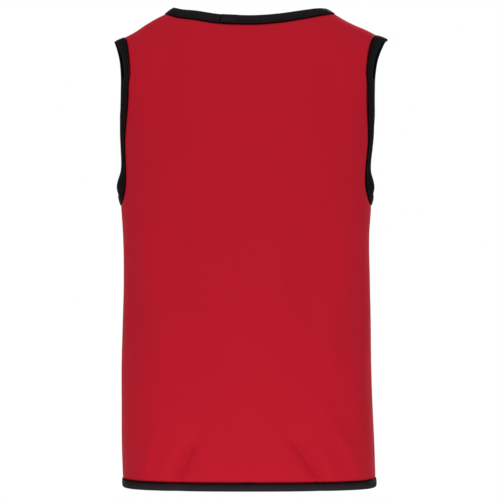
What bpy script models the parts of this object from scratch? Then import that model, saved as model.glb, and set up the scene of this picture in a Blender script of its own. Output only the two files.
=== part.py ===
"""Reversible training bib, worn and filled out: a sleeveless body of two panels with
dark tape folded over its neck, armholes and hem.

The origin lies midway between the shoulders, +Z is up, the back of the garment faces -Y
and its front faces +Y. Lengths are in metres; the tables are in millimetres.
"""

import bmesh
import bpy
import numpy as np

MM = 0.001

# Driving dimensions
PANEL_WALL = 1.4 * MM
TAPE_WALL = 1.0 * MM
SEAM_GAP = 0.34 * MM
NECK_TAPE_WIDTH = 16.0 * MM
ARMHOLE_TAPE_WIDTH = 15.0 * MM
HEM_TAPE_WIDTH = 11.6 * MM
HEM_HEIGHT = -668.7 * MM
# How much higher the hem lies at the side seams than in the middle
HEM_SIDE_RISE = 1.5 * MM
UNDERARM_HEIGHT = -261.0 * MM

# The shoulder seams, seen level from the back: the left one from its tip to the neck,
# the right one from the neck to its tip.
LEFT_SEAM = ((-183.2, -19.7), (-166, -10.6), (-152, -1.1), (-138, 7.4), (-122.5, 15.2))
RIGHT_SEAM = ((122.5, 15.2), (138, 6.0), (152, -0.9), (167, -7.2), (186.0, -17.0))

# The back neckline's inner tape line, seen the same way
BACK_NECKLINE = (
    (-122.5, 15.2), (-109, 9.8), (-80, 4.9), (-50, -0.5), (-20, -2.5), (10, -2.6),
    (45, 0.6), (80, 6.8), (109, 12.8), (122.5, 15.2),
)

# The body's level sections: how high each lies, its half width, how far its centre is
# shifted to the right, how far the back and the front stand from the side seams, and how
# long the section stays flat across the body and along its side (0.55 gives an ellipse).
SECTION_COLUMNS = ("height", "half_width", "shift", "back", "front", "flat_across", "flat_side")
SECTIONS = (
    (60, 270.0, 0.0, 58.0, 56.0, 0.42, 0.46),
    (0, 250.0, 0.0, 73.0, 71.0, 0.42, 0.46),
    (-50, 232.0, -1.6, 88.0, 86.0, 0.42, 0.46),
    (-75, 219.0, -2.5, 99.0, 96.0, 0.45, 0.50),
    (-110, 201.0, -3.2, 111.0, 108.0, 0.50, 0.56),
    (-140, 192.6, -4.1, 115.0, 114.5, 0.55, 0.62),
    (-170, 187.5, -4.6, 115.0, 118.5, 0.59, 0.66),
    (-200, 184.5, -5.6, 113.5, 120.5, 0.62, 0.67),
    (-235, 182.0, -6.3, 110.5, 121.5, 0.64, 0.68),
    (-265, 180.5, -5.6, 108.0, 121.5, 0.65, 0.69),
    (-300, 178.1, -5.6, 105.5, 120.5, 0.66, 0.70),
    (-370, 177.8, -4.6, 103.5, 117.5, 0.68, 0.73),
    (-430, 179.1, -4.7, 106.0, 115.0, 0.70, 0.77),
    (-490, 180.2, -5.2, 111.0, 113.5, 0.72, 0.82),
    (-550, 181.1, -4.2, 117.5, 113.0, 0.74, 0.88),
    (-605, 182.2, -2.8, 123.0, 113.0, 0.77, 0.95),
    (-670, 182.0, -0.6, 128.5, 113.5, 0.78, 1.06),
)

# Each panel's own sizes: which way it faces, the level where it begins to turn over the
# shoulder, how deep the armhole is cut there, and how low its neckline lies in the middle.
PANEL_COLUMNS = ("name", "faces", "roll_height", "armhole_depth")
PANELS = (
    ("back_panel", -1, -75.0, 57.0),
    ("front_panel", 1, -120.0, 52.0),
)
# How far the armholes are cut in at some heights, as a share of their depth
ARMHOLE_CUT = (
    (-270, 1.0), (-235, 1.02), (-200, 0.92), (-170, 0.88), (-140, 0.96), (-110, 0.99), (-60, 0.99),
)
FRONT_NECK_HEIGHT = -75.0 * MM
FRONT_NECK_ROUNDNESS = 2.2
FRONT_NECK_POWER = 1.6
# How far the body would go on rising from the neck points to its middle
NECK_RISE = 27.0 * MM
# How late the yoke's columns bend from the body towards the top line
ROLL_POWER = 1.5
ARMHOLE_CORNER_HEIGHT = -235.0 * MM
ARMHOLE_ROUNDNESS = 3.5
# How far the tapes lean off the cloth: the neck's in its middle, growing to the left,
# and the armholes' at some heights, where a minus leans in round the arm.
NECK_FLARE = 0.11
NECK_FLARE_REACH = 200.0 * MM
ARMHOLE_FLARES = (
    (-275, 0.0), (-258, 0.2), (-238, 0.6), (-212, 0.0), (-180, -0.1), (-125, 0.0),
    (-95, -0.25), (-65, -0.55), (-45, -0.55), (-30, -0.3), (-15, 0.15), (30, 0.15),
)

# The largest folds: the panel, then each end as distance round the body from the centre
# and height, half the fold's width, and how far it stands out (or in, below zero).
FOLD_COLUMNS = ("panel", "across_a", "height_a", "across_b", "height_b", "half_width", "depth")
FOLDS = (
    ("back_panel", -95, -265, -92, -410, 26, -2.6),
    ("back_panel", 82, -260, 80, -405, 26, -2.6),
    ("back_panel", -128, -390, -120, -520, 26, 2.4),
    ("back_panel", 122, -395, 112, -515, 26, 2.4),
    ("back_panel", -150, -520, -172, -660, 24, -3.2),
    ("back_panel", 128, -505, 168, -655, 24, -3.2),
    ("back_panel", -66, -585, -108, -662, 20, -3.6),
    ("back_panel", 68, -585, 104, -662, 20, -3.6),
    ("front_panel", -70, -230, -84, -430, 30, -2.6),
    ("front_panel", 84, -250, 76, -400, 28, -2.4),
    ("front_panel", -120, -480, -148, -658, 26, -3.2),
    ("front_panel", 96, -520, 138, -660, 26, -3.4),
    ("front_panel", -20, -560, -38, -660, 24, -2.6),
    ("front_panel", 30, -150, 12, -300, 34, 2.2),
)
FOLD_SEAM_REACH = 45.0 * MM
# The share of a fold's run over which it rises, and how high it already is at its end
FOLD_TAPER = 0.4
FOLD_END_DEPTH = 0.25

# How finely the panels are divided
BACK_CELLS = 24
NECK_CELLS = 18
SIDE_CELLS = 3
BODY_ROWS = 16
YOKE_ROWS = 6
ROLL_ROWS = 8
CURVE_SAMPLES = 161
# Diagonals of a quad that differ by less than this count as equal.
EVEN_DIAGONALS = 0.03 * MM
# Where the tape's fold has points, as turns from the back of the cloth to its front
FOLD_TURNS = (60.0, 120.0)

CLOTH_RED = (0.42, 0.012, 0.026)
TAPE_BLACK = (0.011, 0.011, 0.013)


def smooth_value(places, values, at):
    """A smooth curve through the values, read at one or more places between them."""
    slopes = np.gradient(values, places)
    i = np.clip(np.searchsorted(places, at) - 1, 0, len(places) - 2)
    step = places[i + 1] - places[i]
    t = (at - places[i]) / step
    return (
        (1 + 2 * t) * (1 - t) ** 2 * values[i]
        + t * (1 - t) ** 2 * step * slopes[i]
        + t * t * (3 - 2 * t) * values[i + 1]
        - t * t * (1 - t) * step * slopes[i + 1]
    )


def smoothstep(t):
    t = np.clip(t, 0.0, 1.0)
    return t * t * (3 - 2 * t)


def unit(vectors):
    return vectors / np.linalg.norm(vectors, axis=-1, keepdims=True)


def running_length(points):
    """The length from the first point to each point of a line."""
    return np.concatenate([[0.0], np.cumsum(np.linalg.norm(np.diff(points, axis=0), axis=1))])


def section_size(column, height):
    """One size of the body's section, in metres or as a plain ratio, at these heights."""
    table = np.array(SECTIONS)[::-1]
    scale = 1.0 if column.startswith("flat") else MM
    values = table[:, SECTION_COLUMNS.index(column)] * scale
    return smooth_value(table[:, 0] * MM, values, height)


def section_point(panel, bend, height):
    """A point of the body: bend runs from 0 at the centre to 1 or -1 at the side seam."""
    bend, height = np.broadcast_arrays(bend, height)
    s = np.abs(bend)
    across = section_size("flat_across", height)
    side = section_size("flat_side", height)
    width = 3 * across * (1 - s) ** 2 * s + 3 * (1 - s) * s**2 + s**3
    depth = (1 - s) ** 3 + 3 * (1 - s) ** 2 * s + 3 * side * (1 - s) * s**2
    x = section_size("shift", height) + np.sign(bend) * width * section_size("half_width", height)
    y = panel["faces"] * depth * section_size("back" if panel["faces"] < 0 else "front", height)
    return np.stack([x, y, height], axis=-1)


def bend_of_arc(panel, end, height, fractions):
    """The bends that part the section, from the centre to the bend end, by arc length."""
    bends = np.linspace(0.0, end, CURVE_SAMPLES)
    lengths = running_length(section_point(panel, bends, height))
    return np.interp(np.asarray(fractions) * lengths[-1], lengths, bends)


def armhole_bend(panel, height):
    """The bend at which the armhole's inner tape line crosses the section at this height."""
    rise = panel["roll_height"] - UNDERARM_HEIGHT
    drop = np.clip((panel["roll_height"] - height) / rise, 0.0, 1.0)
    cut = np.array(ARMHOLE_CUT)
    depth = panel["armhole_depth"] * smooth_value(cut[:, 0] * MM, cut[:, 1], height)
    depth = depth * (1 - drop**ARMHOLE_ROUNDNESS) ** (1 / ARMHOLE_ROUNDNESS)
    bends = np.linspace(1.0, 0.0, 2 * CURVE_SAMPLES)
    return np.interp(depth, np.abs(section_point(panel, bends, height)[:, 1]), bends)


def body_rows(panel):
    """Rows of points from the hem's tape line up to the armholes, side seam to side seam."""
    bottom = HEM_HEIGHT + HEM_TAPE_WIDTH
    corner = armhole_bend(panel, ARMHOLE_CORNER_HEIGHT)
    turn = np.linspace(0.0, np.pi / 2, SIDE_CELLS + 1)
    side_tops = ARMHOLE_CORNER_HEIGHT + (UNDERARM_HEIGHT - ARMHOLE_CORNER_HEIGHT) * np.sin(turn)
    side_bends = np.array([armhole_bend(panel, top) for top in side_tops])
    low_bends = 1 - (1 - corner) * np.linspace(1.0, 0.0, SIDE_CELLS + 1)
    fractions = np.linspace(0.0, 1.0, BACK_CELLS // 2 + 1)
    rows = []
    for up in np.linspace(0.0, 1.0, BODY_ROWS + 1):
        level = bottom + (ARMHOLE_CORNER_HEIGHT - bottom) * up
        middle = bend_of_arc(panel, corner, level, fractions)
        side_level = bottom + (side_tops - bottom) * up
        side = low_bends + (side_bends - low_bends) * up
        bends = np.concatenate([middle, side[1:]])
        levels = np.concatenate([np.full(len(middle), level), side_level[1:]])
        levels += HEM_SIDE_RISE * (1 - up) ** 2 * (1 - (1 - bends**2) ** 6)
        right = section_point(panel, bends, levels)
        left = section_point(panel, -bends[:0:-1], levels[:0:-1])
        rows.append(np.concatenate([left, right]))
    return rows


def yoke_row(panel, height):
    """One level row between the armholes' inner tape lines."""
    fractions = np.linspace(0.0, 1.0, BACK_CELLS // 2 + 1)
    bends = bend_of_arc(panel, armhole_bend(panel, height), height, fractions)
    return section_point(panel, np.concatenate([-bends[:0:-1], bends]), height)


def body_depth(panel, across, height):
    """How far the body's sections stand from the side seams at places across, at a height."""
    bends = np.linspace(0.0, 1.0, CURVE_SAMPLES)
    depths = []
    for x, z in zip(across, height):
        side = section_point(panel, bends if x >= 0 else -bends, z)
        depths.append(np.interp(abs(x), np.abs(side[:, 0]), np.abs(side[:, 1])))
    return np.array(depths)


def line_height(line, across):
    """The height of a tabled line at places across."""
    table = np.array(line) * MM
    return smooth_value(table[:, 0], table[:, 1], across)


def neck_share(across):
    """How far a place across lies from the middle of the neck opening towards its ends."""
    left, right = LEFT_SEAM[-1][0] * MM, RIGHT_SEAM[0][0] * MM
    return np.minimum(np.abs(across - (left + right) / 2) / ((right - left) / 2), 1.0)


def ridge_height(across):
    """The height of the shoulders' ridge, and of its smooth run above the neck opening."""
    ends = np.array((LEFT_SEAM[-1], RIGHT_SEAM[0])) * MM
    neck = np.interp(across, ends[:, 0], ends[:, 1]) + NECK_RISE * (1 - neck_share(across) ** 2)
    ridge = np.where(across < ends[0, 0], line_height(LEFT_SEAM, across), neck)
    return np.where(across > ends[1, 0], line_height(RIGHT_SEAM, across), ridge)


def shoulder_point(panel, across, turn):
    """Points of the yoke: turn runs from 0, upright at the last level row, to a right
    angle on the ridge."""
    level = panel["roll_height"]
    height = level + (ridge_height(across) - level) * np.sin(turn)
    depth = body_depth(panel, across, height) * np.cos(turn)
    return np.stack([across, panel["faces"] * depth, height], axis=-1)


def neck_turns(panel, across):
    """How far the yoke has turned over where the neckline cuts it."""
    if panel["faces"] < 0:
        height = line_height(BACK_NECKLINE, across)
    else:
        scoop = (1 - neck_share(across) ** FRONT_NECK_ROUNDNESS) ** (1 / FRONT_NECK_ROUNDNESS)
        ends = RIGHT_SEAM[0][1] * MM
        height = ends + (FRONT_NECK_HEIGHT - ends) * scoop**FRONT_NECK_POWER
    level = panel["roll_height"]
    sine = (height - level) / (ridge_height(across) - level)
    return np.arcsin(np.clip(sine, 0.0, 1.0))


def top_line(panel):
    """Places across and turns along the neckline's inner tape line and the shoulder seams."""
    tip_left, left = LEFT_SEAM[0][0] * MM, LEFT_SEAM[-1][0] * MM
    right, tip_right = RIGHT_SEAM[0][0] * MM, RIGHT_SEAM[-1][0] * MM
    swing = np.sin(np.linspace(-np.pi / 2, np.pi / 2, 4 * NECK_CELLS + 1))
    across = (left + right) / 2 + swing * (right - left) / 2
    turns = neck_turns(panel, across)
    lengths = running_length(shoulder_point(panel, across, turns))
    at = np.linspace(0.0, lengths[-1], NECK_CELLS + 1)
    seam_cells = (BACK_CELLS - NECK_CELLS) // 2
    left_seam = np.linspace(tip_left, left, seam_cells + 1)[:-1]
    right_seam = np.linspace(right, tip_right, seam_cells + 1)[1:]
    over = np.full(seam_cells, np.pi / 2)
    return (
        np.concatenate([left_seam, np.interp(at, lengths, across), right_seam]),
        np.concatenate([over, np.interp(at, lengths, turns), over]),
    )


def roll_rows(panel):
    """Rows from the last level row over the shoulders to the top line."""
    start = yoke_row(panel, panel["roll_height"])[:, 0]
    across, turns = top_line(panel)
    shares = np.linspace(0.0, 1.0, ROLL_ROWS + 1)[1:]
    return [
        shoulder_point(panel, start + (across - start) * t**ROLL_POWER, turns * t) for t in shares
    ]


def row_normals(rows, faces):
    """Outward directions at each point of rows of equal length."""
    grid = np.array(rows)
    normal = unit(np.cross(np.gradient(grid, axis=1), np.gradient(grid, axis=0)))
    return normal * np.sign(np.sum(normal[..., 1]) * faces)


def fold_height(name, around, height, seam_distance):
    """How far the folds move the cloth out at a distance round the body and a height."""
    total = np.zeros_like(around)
    for row in FOLDS:
        fold = dict(zip(FOLD_COLUMNS, row))
        if fold["panel"] != name:
            continue
        start = np.array((fold["across_a"], fold["height_a"])) * MM
        run = np.array((fold["across_b"], fold["height_b"])) * MM - start
        length = np.hypot(*run)
        along = ((around - start[0]) * run[0] + (height - start[1]) * run[1]) / length**2
        off = ((around - start[0]) * run[1] - (height - start[1]) * run[0]) / length
        rise, fall = along / FOLD_TAPER, (1 - along) / FOLD_TAPER
        ends = smoothstep(rise + FOLD_END_DEPTH) * smoothstep(fall + FOLD_END_DEPTH)
        total += fold["depth"] * MM * ends * np.exp(-((off / (fold["half_width"] * MM)) ** 2))
    return total * smoothstep(seam_distance / FOLD_SEAM_REACH)


def folded(panel, rows):
    """The rows with the panel's folds added, fading out at the seams."""
    grid = np.array(rows)
    steps = np.linalg.norm(np.diff(grid, axis=1), axis=-1)
    around = np.concatenate([np.zeros((len(grid), 1)), np.cumsum(steps, axis=1)], axis=1)
    middle = around.shape[1] // 2
    seam_distance = np.minimum(around, around[:, -1:] - around)
    around = around - around[:, middle : middle + 1]
    lift = fold_height(panel["name"], around, grid[..., 2], seam_distance)
    return grid + row_normals(rows, panel["faces"]) * lift[..., None]


def read_panel(row):
    panel = dict(zip(PANEL_COLUMNS, row))
    for size in ("roll_height", "armhole_depth"):
        panel[size] *= MM
    return panel


def shape_panel(row):
    """A panel's points inside its tapes, its faces, and the lines where tapes begin."""
    panel = read_panel(row)
    low = folded(panel, body_rows(panel))
    yoke = body_rows(panel)[-1][SIDE_CELLS:-SIDE_CELLS]
    levels = np.linspace(ARMHOLE_CORNER_HEIGHT, panel["roll_height"], YOKE_ROWS + 1)[1:]
    high = folded(panel, [yoke] + [yoke_row(panel, level) for level in levels] + roll_rows(panel))
    high[0] = low[-1][SIDE_CELLS:-SIDE_CELLS]
    side = panel["faces"] * SEAM_GAP / 2
    low[:, (0, -1), 1] = side
    seam = (BACK_CELLS - NECK_CELLS) // 2
    high[-1, : seam + 1, 1] = side
    high[-1, -seam - 1 :, 1] = side

    low_index = np.arange(low.shape[0] * low.shape[1]).reshape(low.shape[:2])
    high_index = low_index.size + np.arange((high.shape[0] - 1) * high.shape[1])
    high_index = high_index.reshape(-1, high.shape[1])
    high_index = np.vstack([low_index[-1, SIDE_CELLS:-SIDE_CELLS], high_index])
    points = np.concatenate([low.reshape(-1, 3), high[1:].reshape(-1, 3)])
    faces = grid_faces(low_index, points) + grid_faces(high_index, points)
    lines = {
        "hem": low_index[0],
        "armhole_left": np.concatenate([low_index[-1, :SIDE_CELLS], high_index[:, 0]]),
        "armhole_right": np.concatenate([low_index[-1, : -SIDE_CELLS - 1 : -1], high_index[:, -1]]),
        "neck": high_index[-1, seam : -seam or None],
    }
    return {"panel": panel, "points": list(points), "faces": faces, "lines": lines}


def quad_faces(a, b, c, d, cross):
    """Two triangles over a quad, parted from a to c, or from b to d where cross is true."""
    return [(a, b, d), (b, c, d)] if cross else [(a, b, c), (a, c, d)]


def shorter_cross(a, b, c, d):
    """Whether the line from b to d is the shorter of a quad's two diagonals."""
    return np.linalg.norm(b - d) < np.linalg.norm(a - c) - EVEN_DIAGONALS


def grid_faces(index, points):
    """Triangles over a grid of point numbers."""
    faces = []
    for lower, upper in zip(index[:-1], index[1:]):
        for quad in zip(lower[:-1], lower[1:], upper[1:], upper[:-1]):
            faces += quad_faces(*quad, shorter_cross(*points[list(quad)]))
    return faces


def point_normals(points, faces):
    """Directions out of a mesh at its points, weighted by the corners' angles."""
    mesh = bmesh.new()
    verts = [mesh.verts.new(point) for point in points]
    for face in faces:
        mesh.faces.new([verts[i] for i in face])
    mesh.normal_update()
    normals = np.array([vert.normal for vert in verts])
    mesh.free()
    return normals


def facing_out(shape):
    """The panel's faces, turned so that they look away from the wearer."""
    normals = point_normals(shape["points"], shape["faces"])
    if normals[:, 1].sum() * shape["panel"]["faces"] > 0:
        return shape["faces"]
    return [face[::-1] for face in shape["faces"]]


def ring_of(shapes, line):
    """The stations round an opening: the back panel's line, then the front's in reverse.
    Each station lists its (shape, point number) pairs, two of them on a seam."""
    back, front = (shape["lines"][line] for shape in shapes)
    stations = [[(shapes[0], i)] for i in back] + [[(shapes[1], i)] for i in front[-2:0:-1]]
    stations[0].append((shapes[1], front[0]))
    stations[len(back) - 1].append((shapes[1], front[-1]))
    return stations


def station_mean(stations, values):
    """Each station's mean of one of its shapes' lists of values."""
    return np.array(
        [np.mean([shape[values][i] for shape, i in members], axis=0) for members in stations]
    )


def add_band(shapes, line, width, flare):
    """Widens both panels by a strip out to the raw edge that the tape will cover."""
    stations = ring_of(shapes, line)
    inner = station_mean(stations, "points")
    normal = station_mean(stations, "normals")
    along = np.roll(inner, -1, axis=0) - np.roll(inner, 1, axis=0)
    outward = unit(np.cross(along, normal))
    middle = np.mean(np.concatenate([shape["points"] for shape in shapes]), axis=0)
    outward *= np.sign(np.sum(outward * (inner - middle)))
    raw = inner + unit(outward + normal * flare(inner)[:, None]) * width
    edge = []
    for members, place in zip(stations, raw):
        entry = {}
        for shape, _ in members:
            at = place.copy()
            if len(members) == 2:
                at[1] = shape["panel"]["faces"] * SEAM_GAP / 2
            entry[shape["panel"]["name"]] = len(shape["points"])
            shape["points"].append(at)
        edge.append(entry)
    crosses = []
    for j in range(len(stations)):
        k = (j + 1) % len(stations)
        crosses.append(shorter_cross(inner[j], inner[k], raw[k], raw[j]))
        for shape in shapes:
            name = shape["panel"]["name"]
            first = [i for owner, i in stations[j] if owner is shape]
            second = [i for owner, i in stations[k] if owner is shape]
            if first and second:
                quad = (first[0], second[0], edge[k][name], edge[j][name])
                shape["faces"] += quad_faces(*quad, crosses[j])
    raw_edge = [
        [(shape, ends[shape["panel"]["name"]]) for shape, _ in members]
        for members, ends in zip(stations, edge)
    ]
    return {"inner": stations, "raw": raw_edge, "crosses": crosses}


def mesh_object(name, points, faces, thickness, material, collection):
    """A wall of this thickness over the faces, as one object."""
    mesh = bpy.data.meshes.new(name)
    shape = bmesh.new()
    verts = [shape.verts.new(point) for point in points]
    for face in faces:
        shape.faces.new([verts[i] for i in face])
    bmesh.ops.recalc_face_normals(shape, faces=shape.faces)
    shape.to_mesh(mesh)
    shape.free()
    mesh.shade_smooth()
    mesh.materials.append(material)
    body = bpy.data.objects.new(name, mesh)
    collection.objects.link(body)
    wall = body.modifiers.new("Wall", "SOLIDIFY")
    wall.thickness = thickness
    wall.offset = 0.0
    return body


def make_tape(name, band, material, collection):
    """Tape folded over a raw edge: a leg on each side of the cloth and a round fold."""
    stand_off = PANEL_WALL / 2 + SEAM_GAP + TAPE_WALL / 2
    inner = station_mean(band["inner"], "points")
    raw = station_mean(band["raw"], "points")
    inner_normal = unit(station_mean(band["inner"], "normals"))
    raw_normal = unit(station_mean(band["raw"], "normals"))
    outward = unit(raw - inner)
    fold = [
        raw + stand_off * (raw_normal * np.cos(turn) + outward * np.sin(turn))
        for turn in np.radians(FOLD_TURNS)
    ]
    rows = [inner + stand_off * inner_normal, raw + stand_off * raw_normal, *fold]
    rows += [raw - stand_off * raw_normal, inner - stand_off * inner_normal]
    count = len(inner)
    points = np.concatenate(rows)
    faces = []
    for strip in range(len(rows) - 1):
        for j, cross in enumerate(band["crosses"]):
            a, b = strip * count + j, strip * count + (j + 1) % count
            # The strips past the fold run the other way, so their parting is the other one.
            turned = strip >= len(rows) // 2
            faces += quad_faces(a, b, b + count, a + count, cross != turned)
    return mesh_object(name, points, faces, TAPE_WALL, material, collection)


def make_material(name, colour, roughness):
    material = bpy.data.materials.new(name)
    material.use_nodes = True
    shader = material.node_tree.nodes["Principled BSDF"]
    shader.inputs["Base Color"].default_value = (*colour, 1.0)
    shader.inputs["Roughness"].default_value = roughness
    shader.inputs["Metallic"].default_value = 0.0
    return material


def no_flare(places):
    return np.zeros(len(places))


def neck_flare(places):
    """The neck's tape stands a little more upright than the cloth, most on the left."""
    return NECK_FLARE * (1 - places[:, 0] / NECK_FLARE_REACH)


def armhole_flare(places):
    """The armhole's tape leans in round the arm above, and curls out over the underarm."""
    table = np.array(ARMHOLE_FLARES)
    return smooth_value(table[:, 0] * MM, table[:, 1], places[:, 2])


def clear_scene():
    for old in list(bpy.data.objects):
        bpy.data.objects.remove(old)


def build():
    clear_scene()
    collection = bpy.data.collections.new("training_bib")
    bpy.context.scene.collection.children.link(collection)
    cloth = make_material("red_cloth", CLOTH_RED, 0.75)
    tape = make_material("black_tape", TAPE_BLACK, 0.7)

    shapes = [shape_panel(row) for row in PANELS]
    for shape in shapes:
        shape["faces"] = facing_out(shape)
        shape["normals"] = point_normals(shape["points"], shape["faces"])
    hidden = (PANEL_WALL + TAPE_WALL) / 2 + SEAM_GAP + TAPE_WALL / 2
    bands = {
        "neck_binding": add_band(shapes, "neck", NECK_TAPE_WIDTH - hidden, neck_flare),
        "armhole_binding_left": add_band(
            shapes, "armhole_left", ARMHOLE_TAPE_WIDTH - hidden, armhole_flare
        ),
        "armhole_binding_right": add_band(
            shapes, "armhole_right", ARMHOLE_TAPE_WIDTH - hidden, armhole_flare
        ),
        "hem_binding": add_band(shapes, "hem", HEM_TAPE_WIDTH - hidden, no_flare),
    }
    for shape in shapes:
        solid = mesh_object(
            shape["panel"]["name"], shape["points"], shape["faces"], PANEL_WALL, cloth, collection
        )
        shape["normals"] = np.array([vert.normal for vert in solid.data.vertices])
        if shape["normals"][:, 1].sum() * shape["panel"]["faces"] < 0:
            shape["normals"] = -shape["normals"]
    for name, band in bands.items():
        make_tape(name, band, tape, collection)


build()
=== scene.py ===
"""Looks of the reversible training bib: two cloth panels, four folded tapes and their
stitches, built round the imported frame. Tables of shapes are in millimetres, all else in
metres.
"""

import bmesh
import bpy
import numpy as np
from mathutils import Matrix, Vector
from mathutils.kdtree import KDTree


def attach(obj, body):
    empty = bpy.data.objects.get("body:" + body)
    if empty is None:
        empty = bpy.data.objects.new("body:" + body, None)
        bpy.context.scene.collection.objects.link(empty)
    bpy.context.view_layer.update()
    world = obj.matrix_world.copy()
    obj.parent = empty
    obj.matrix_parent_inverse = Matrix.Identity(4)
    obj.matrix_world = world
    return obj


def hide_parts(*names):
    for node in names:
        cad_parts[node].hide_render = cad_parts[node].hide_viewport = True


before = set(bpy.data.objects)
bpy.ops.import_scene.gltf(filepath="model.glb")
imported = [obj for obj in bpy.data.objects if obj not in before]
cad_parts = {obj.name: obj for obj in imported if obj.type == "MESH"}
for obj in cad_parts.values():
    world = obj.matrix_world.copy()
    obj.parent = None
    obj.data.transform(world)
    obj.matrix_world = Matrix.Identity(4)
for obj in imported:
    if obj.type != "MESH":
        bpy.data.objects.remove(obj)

MM = 0.001

# Sizes of the cut, the same as the solids'
PANEL_WALL = 1.4 * MM
TAPE_WALL = 1.0 * MM
SEAM_GAP = 0.34 * MM
# What is left of the gap between the sewn panels
SEWN_GAP = 0.02 * MM
NECK_TAPE_WIDTH = 16.0 * MM
ARMHOLE_TAPE_WIDTH = 15.0 * MM
HEM_TAPE_WIDTH = 11.6 * MM
HEM_HEIGHT = -668.7 * MM
# How much higher the hem lies at the side seams than in the middle, and the power of the
# curve it rises by
HEM_SIDE_RISE = 1.5 * MM
HEM_RISE_POWER = 6
UNDERARM_HEIGHT = -261.0 * MM

# The shoulder seams, seen level from the back: the left one from its tip to the neck,
# the right one from the neck to its tip.
LEFT_SEAM = ((-183.2, -19.7), (-166, -10.6), (-152, -1.1), (-138, 7.4), (-122.5, 15.2))
RIGHT_SEAM = ((122.5, 15.2), (138, 6.0), (152, -0.9), (167, -7.2), (186.0, -17.0))

# The back neckline's inner tape line, seen the same way
BACK_NECKLINE = (
    (-122.5, 15.2), (-109, 9.8), (-80, 4.9), (-50, -0.5), (-20, -2.5), (10, -2.6),
    (45, 0.6), (80, 6.8), (109, 12.8), (122.5, 15.2),
)

SECTION_COLUMNS = ("height", "half_width", "shift", "back", "front", "flat_across", "flat_side")
SECTIONS = (
    (60, 270.0, 0.0, 58.0, 56.0, 0.42, 0.46),
    (0, 250.0, 0.0, 73.0, 71.0, 0.42, 0.46),
    (-50, 232.0, -1.6, 88.0, 86.0, 0.42, 0.46),
    (-75, 219.0, -2.5, 99.0, 96.0, 0.45, 0.50),
    (-110, 201.0, -3.2, 111.0, 108.0, 0.50, 0.56),
    (-140, 192.6, -4.1, 115.0, 114.5, 0.55, 0.62),
    (-170, 187.5, -4.6, 115.0, 118.5, 0.59, 0.66),
    (-200, 184.5, -5.6, 113.5, 120.5, 0.62, 0.67),
    (-235, 182.0, -6.3, 110.5, 121.5, 0.64, 0.68),
    (-265, 180.5, -5.6, 108.0, 121.5, 0.65, 0.69),
    (-300, 178.1, -5.6, 105.5, 120.5, 0.66, 0.70),
    (-370, 177.8, -4.6, 103.5, 117.5, 0.68, 0.73),
    (-430, 179.1, -4.7, 106.0, 115.0, 0.70, 0.77),
    (-490, 180.2, -5.2, 111.0, 113.5, 0.72, 0.82),
    (-550, 181.1, -4.2, 117.5, 113.0, 0.74, 0.88),
    (-605, 182.2, -2.8, 123.0, 113.0, 0.77, 0.95),
    (-670, 182.0, -0.6, 128.5, 113.5, 0.78, 1.06),
)
PANEL_COLUMNS = ("name", "faces", "roll_height", "armhole_depth")
PANELS = (
    ("back_panel", -1, -75.0, 57.0),
    ("front_panel", 1, -120.0, 52.0),
)
# How far the armholes are cut in at some heights, as a share of their depth
ARMHOLE_CUT = (
    (-270, 1.0), (-235, 1.02), (-200, 0.92), (-170, 0.88), (-140, 0.96), (-110, 0.99), (-60, 0.99),
)
FRONT_NECK_HEIGHT = -75.0 * MM
FRONT_NECK_ROUNDNESS = 2.2
FRONT_NECK_POWER = 1.6
NECK_RISE = 27.0 * MM
ROLL_POWER = 1.5
ARMHOLE_CORNER_HEIGHT = -235.0 * MM
ARMHOLE_ROUNDNESS = 3.5
# How far the tapes lean off the cloth: the neck's in its middle, growing to the left,
# and the armholes' at some heights, where a minus leans in round the arm.
NECK_FLARE = 0.11
NECK_FLARE_REACH = 200.0 * MM
ARMHOLE_FLARES = (
    (-275, 0.0), (-258, 0.2), (-238, 0.6), (-212, 0.0), (-180, -0.1), (-125, 0.0),
    (-95, -0.25), (-65, -0.55), (-45, -0.55), (-30, -0.3), (-15, 0.15), (30, 0.15),
)

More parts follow.
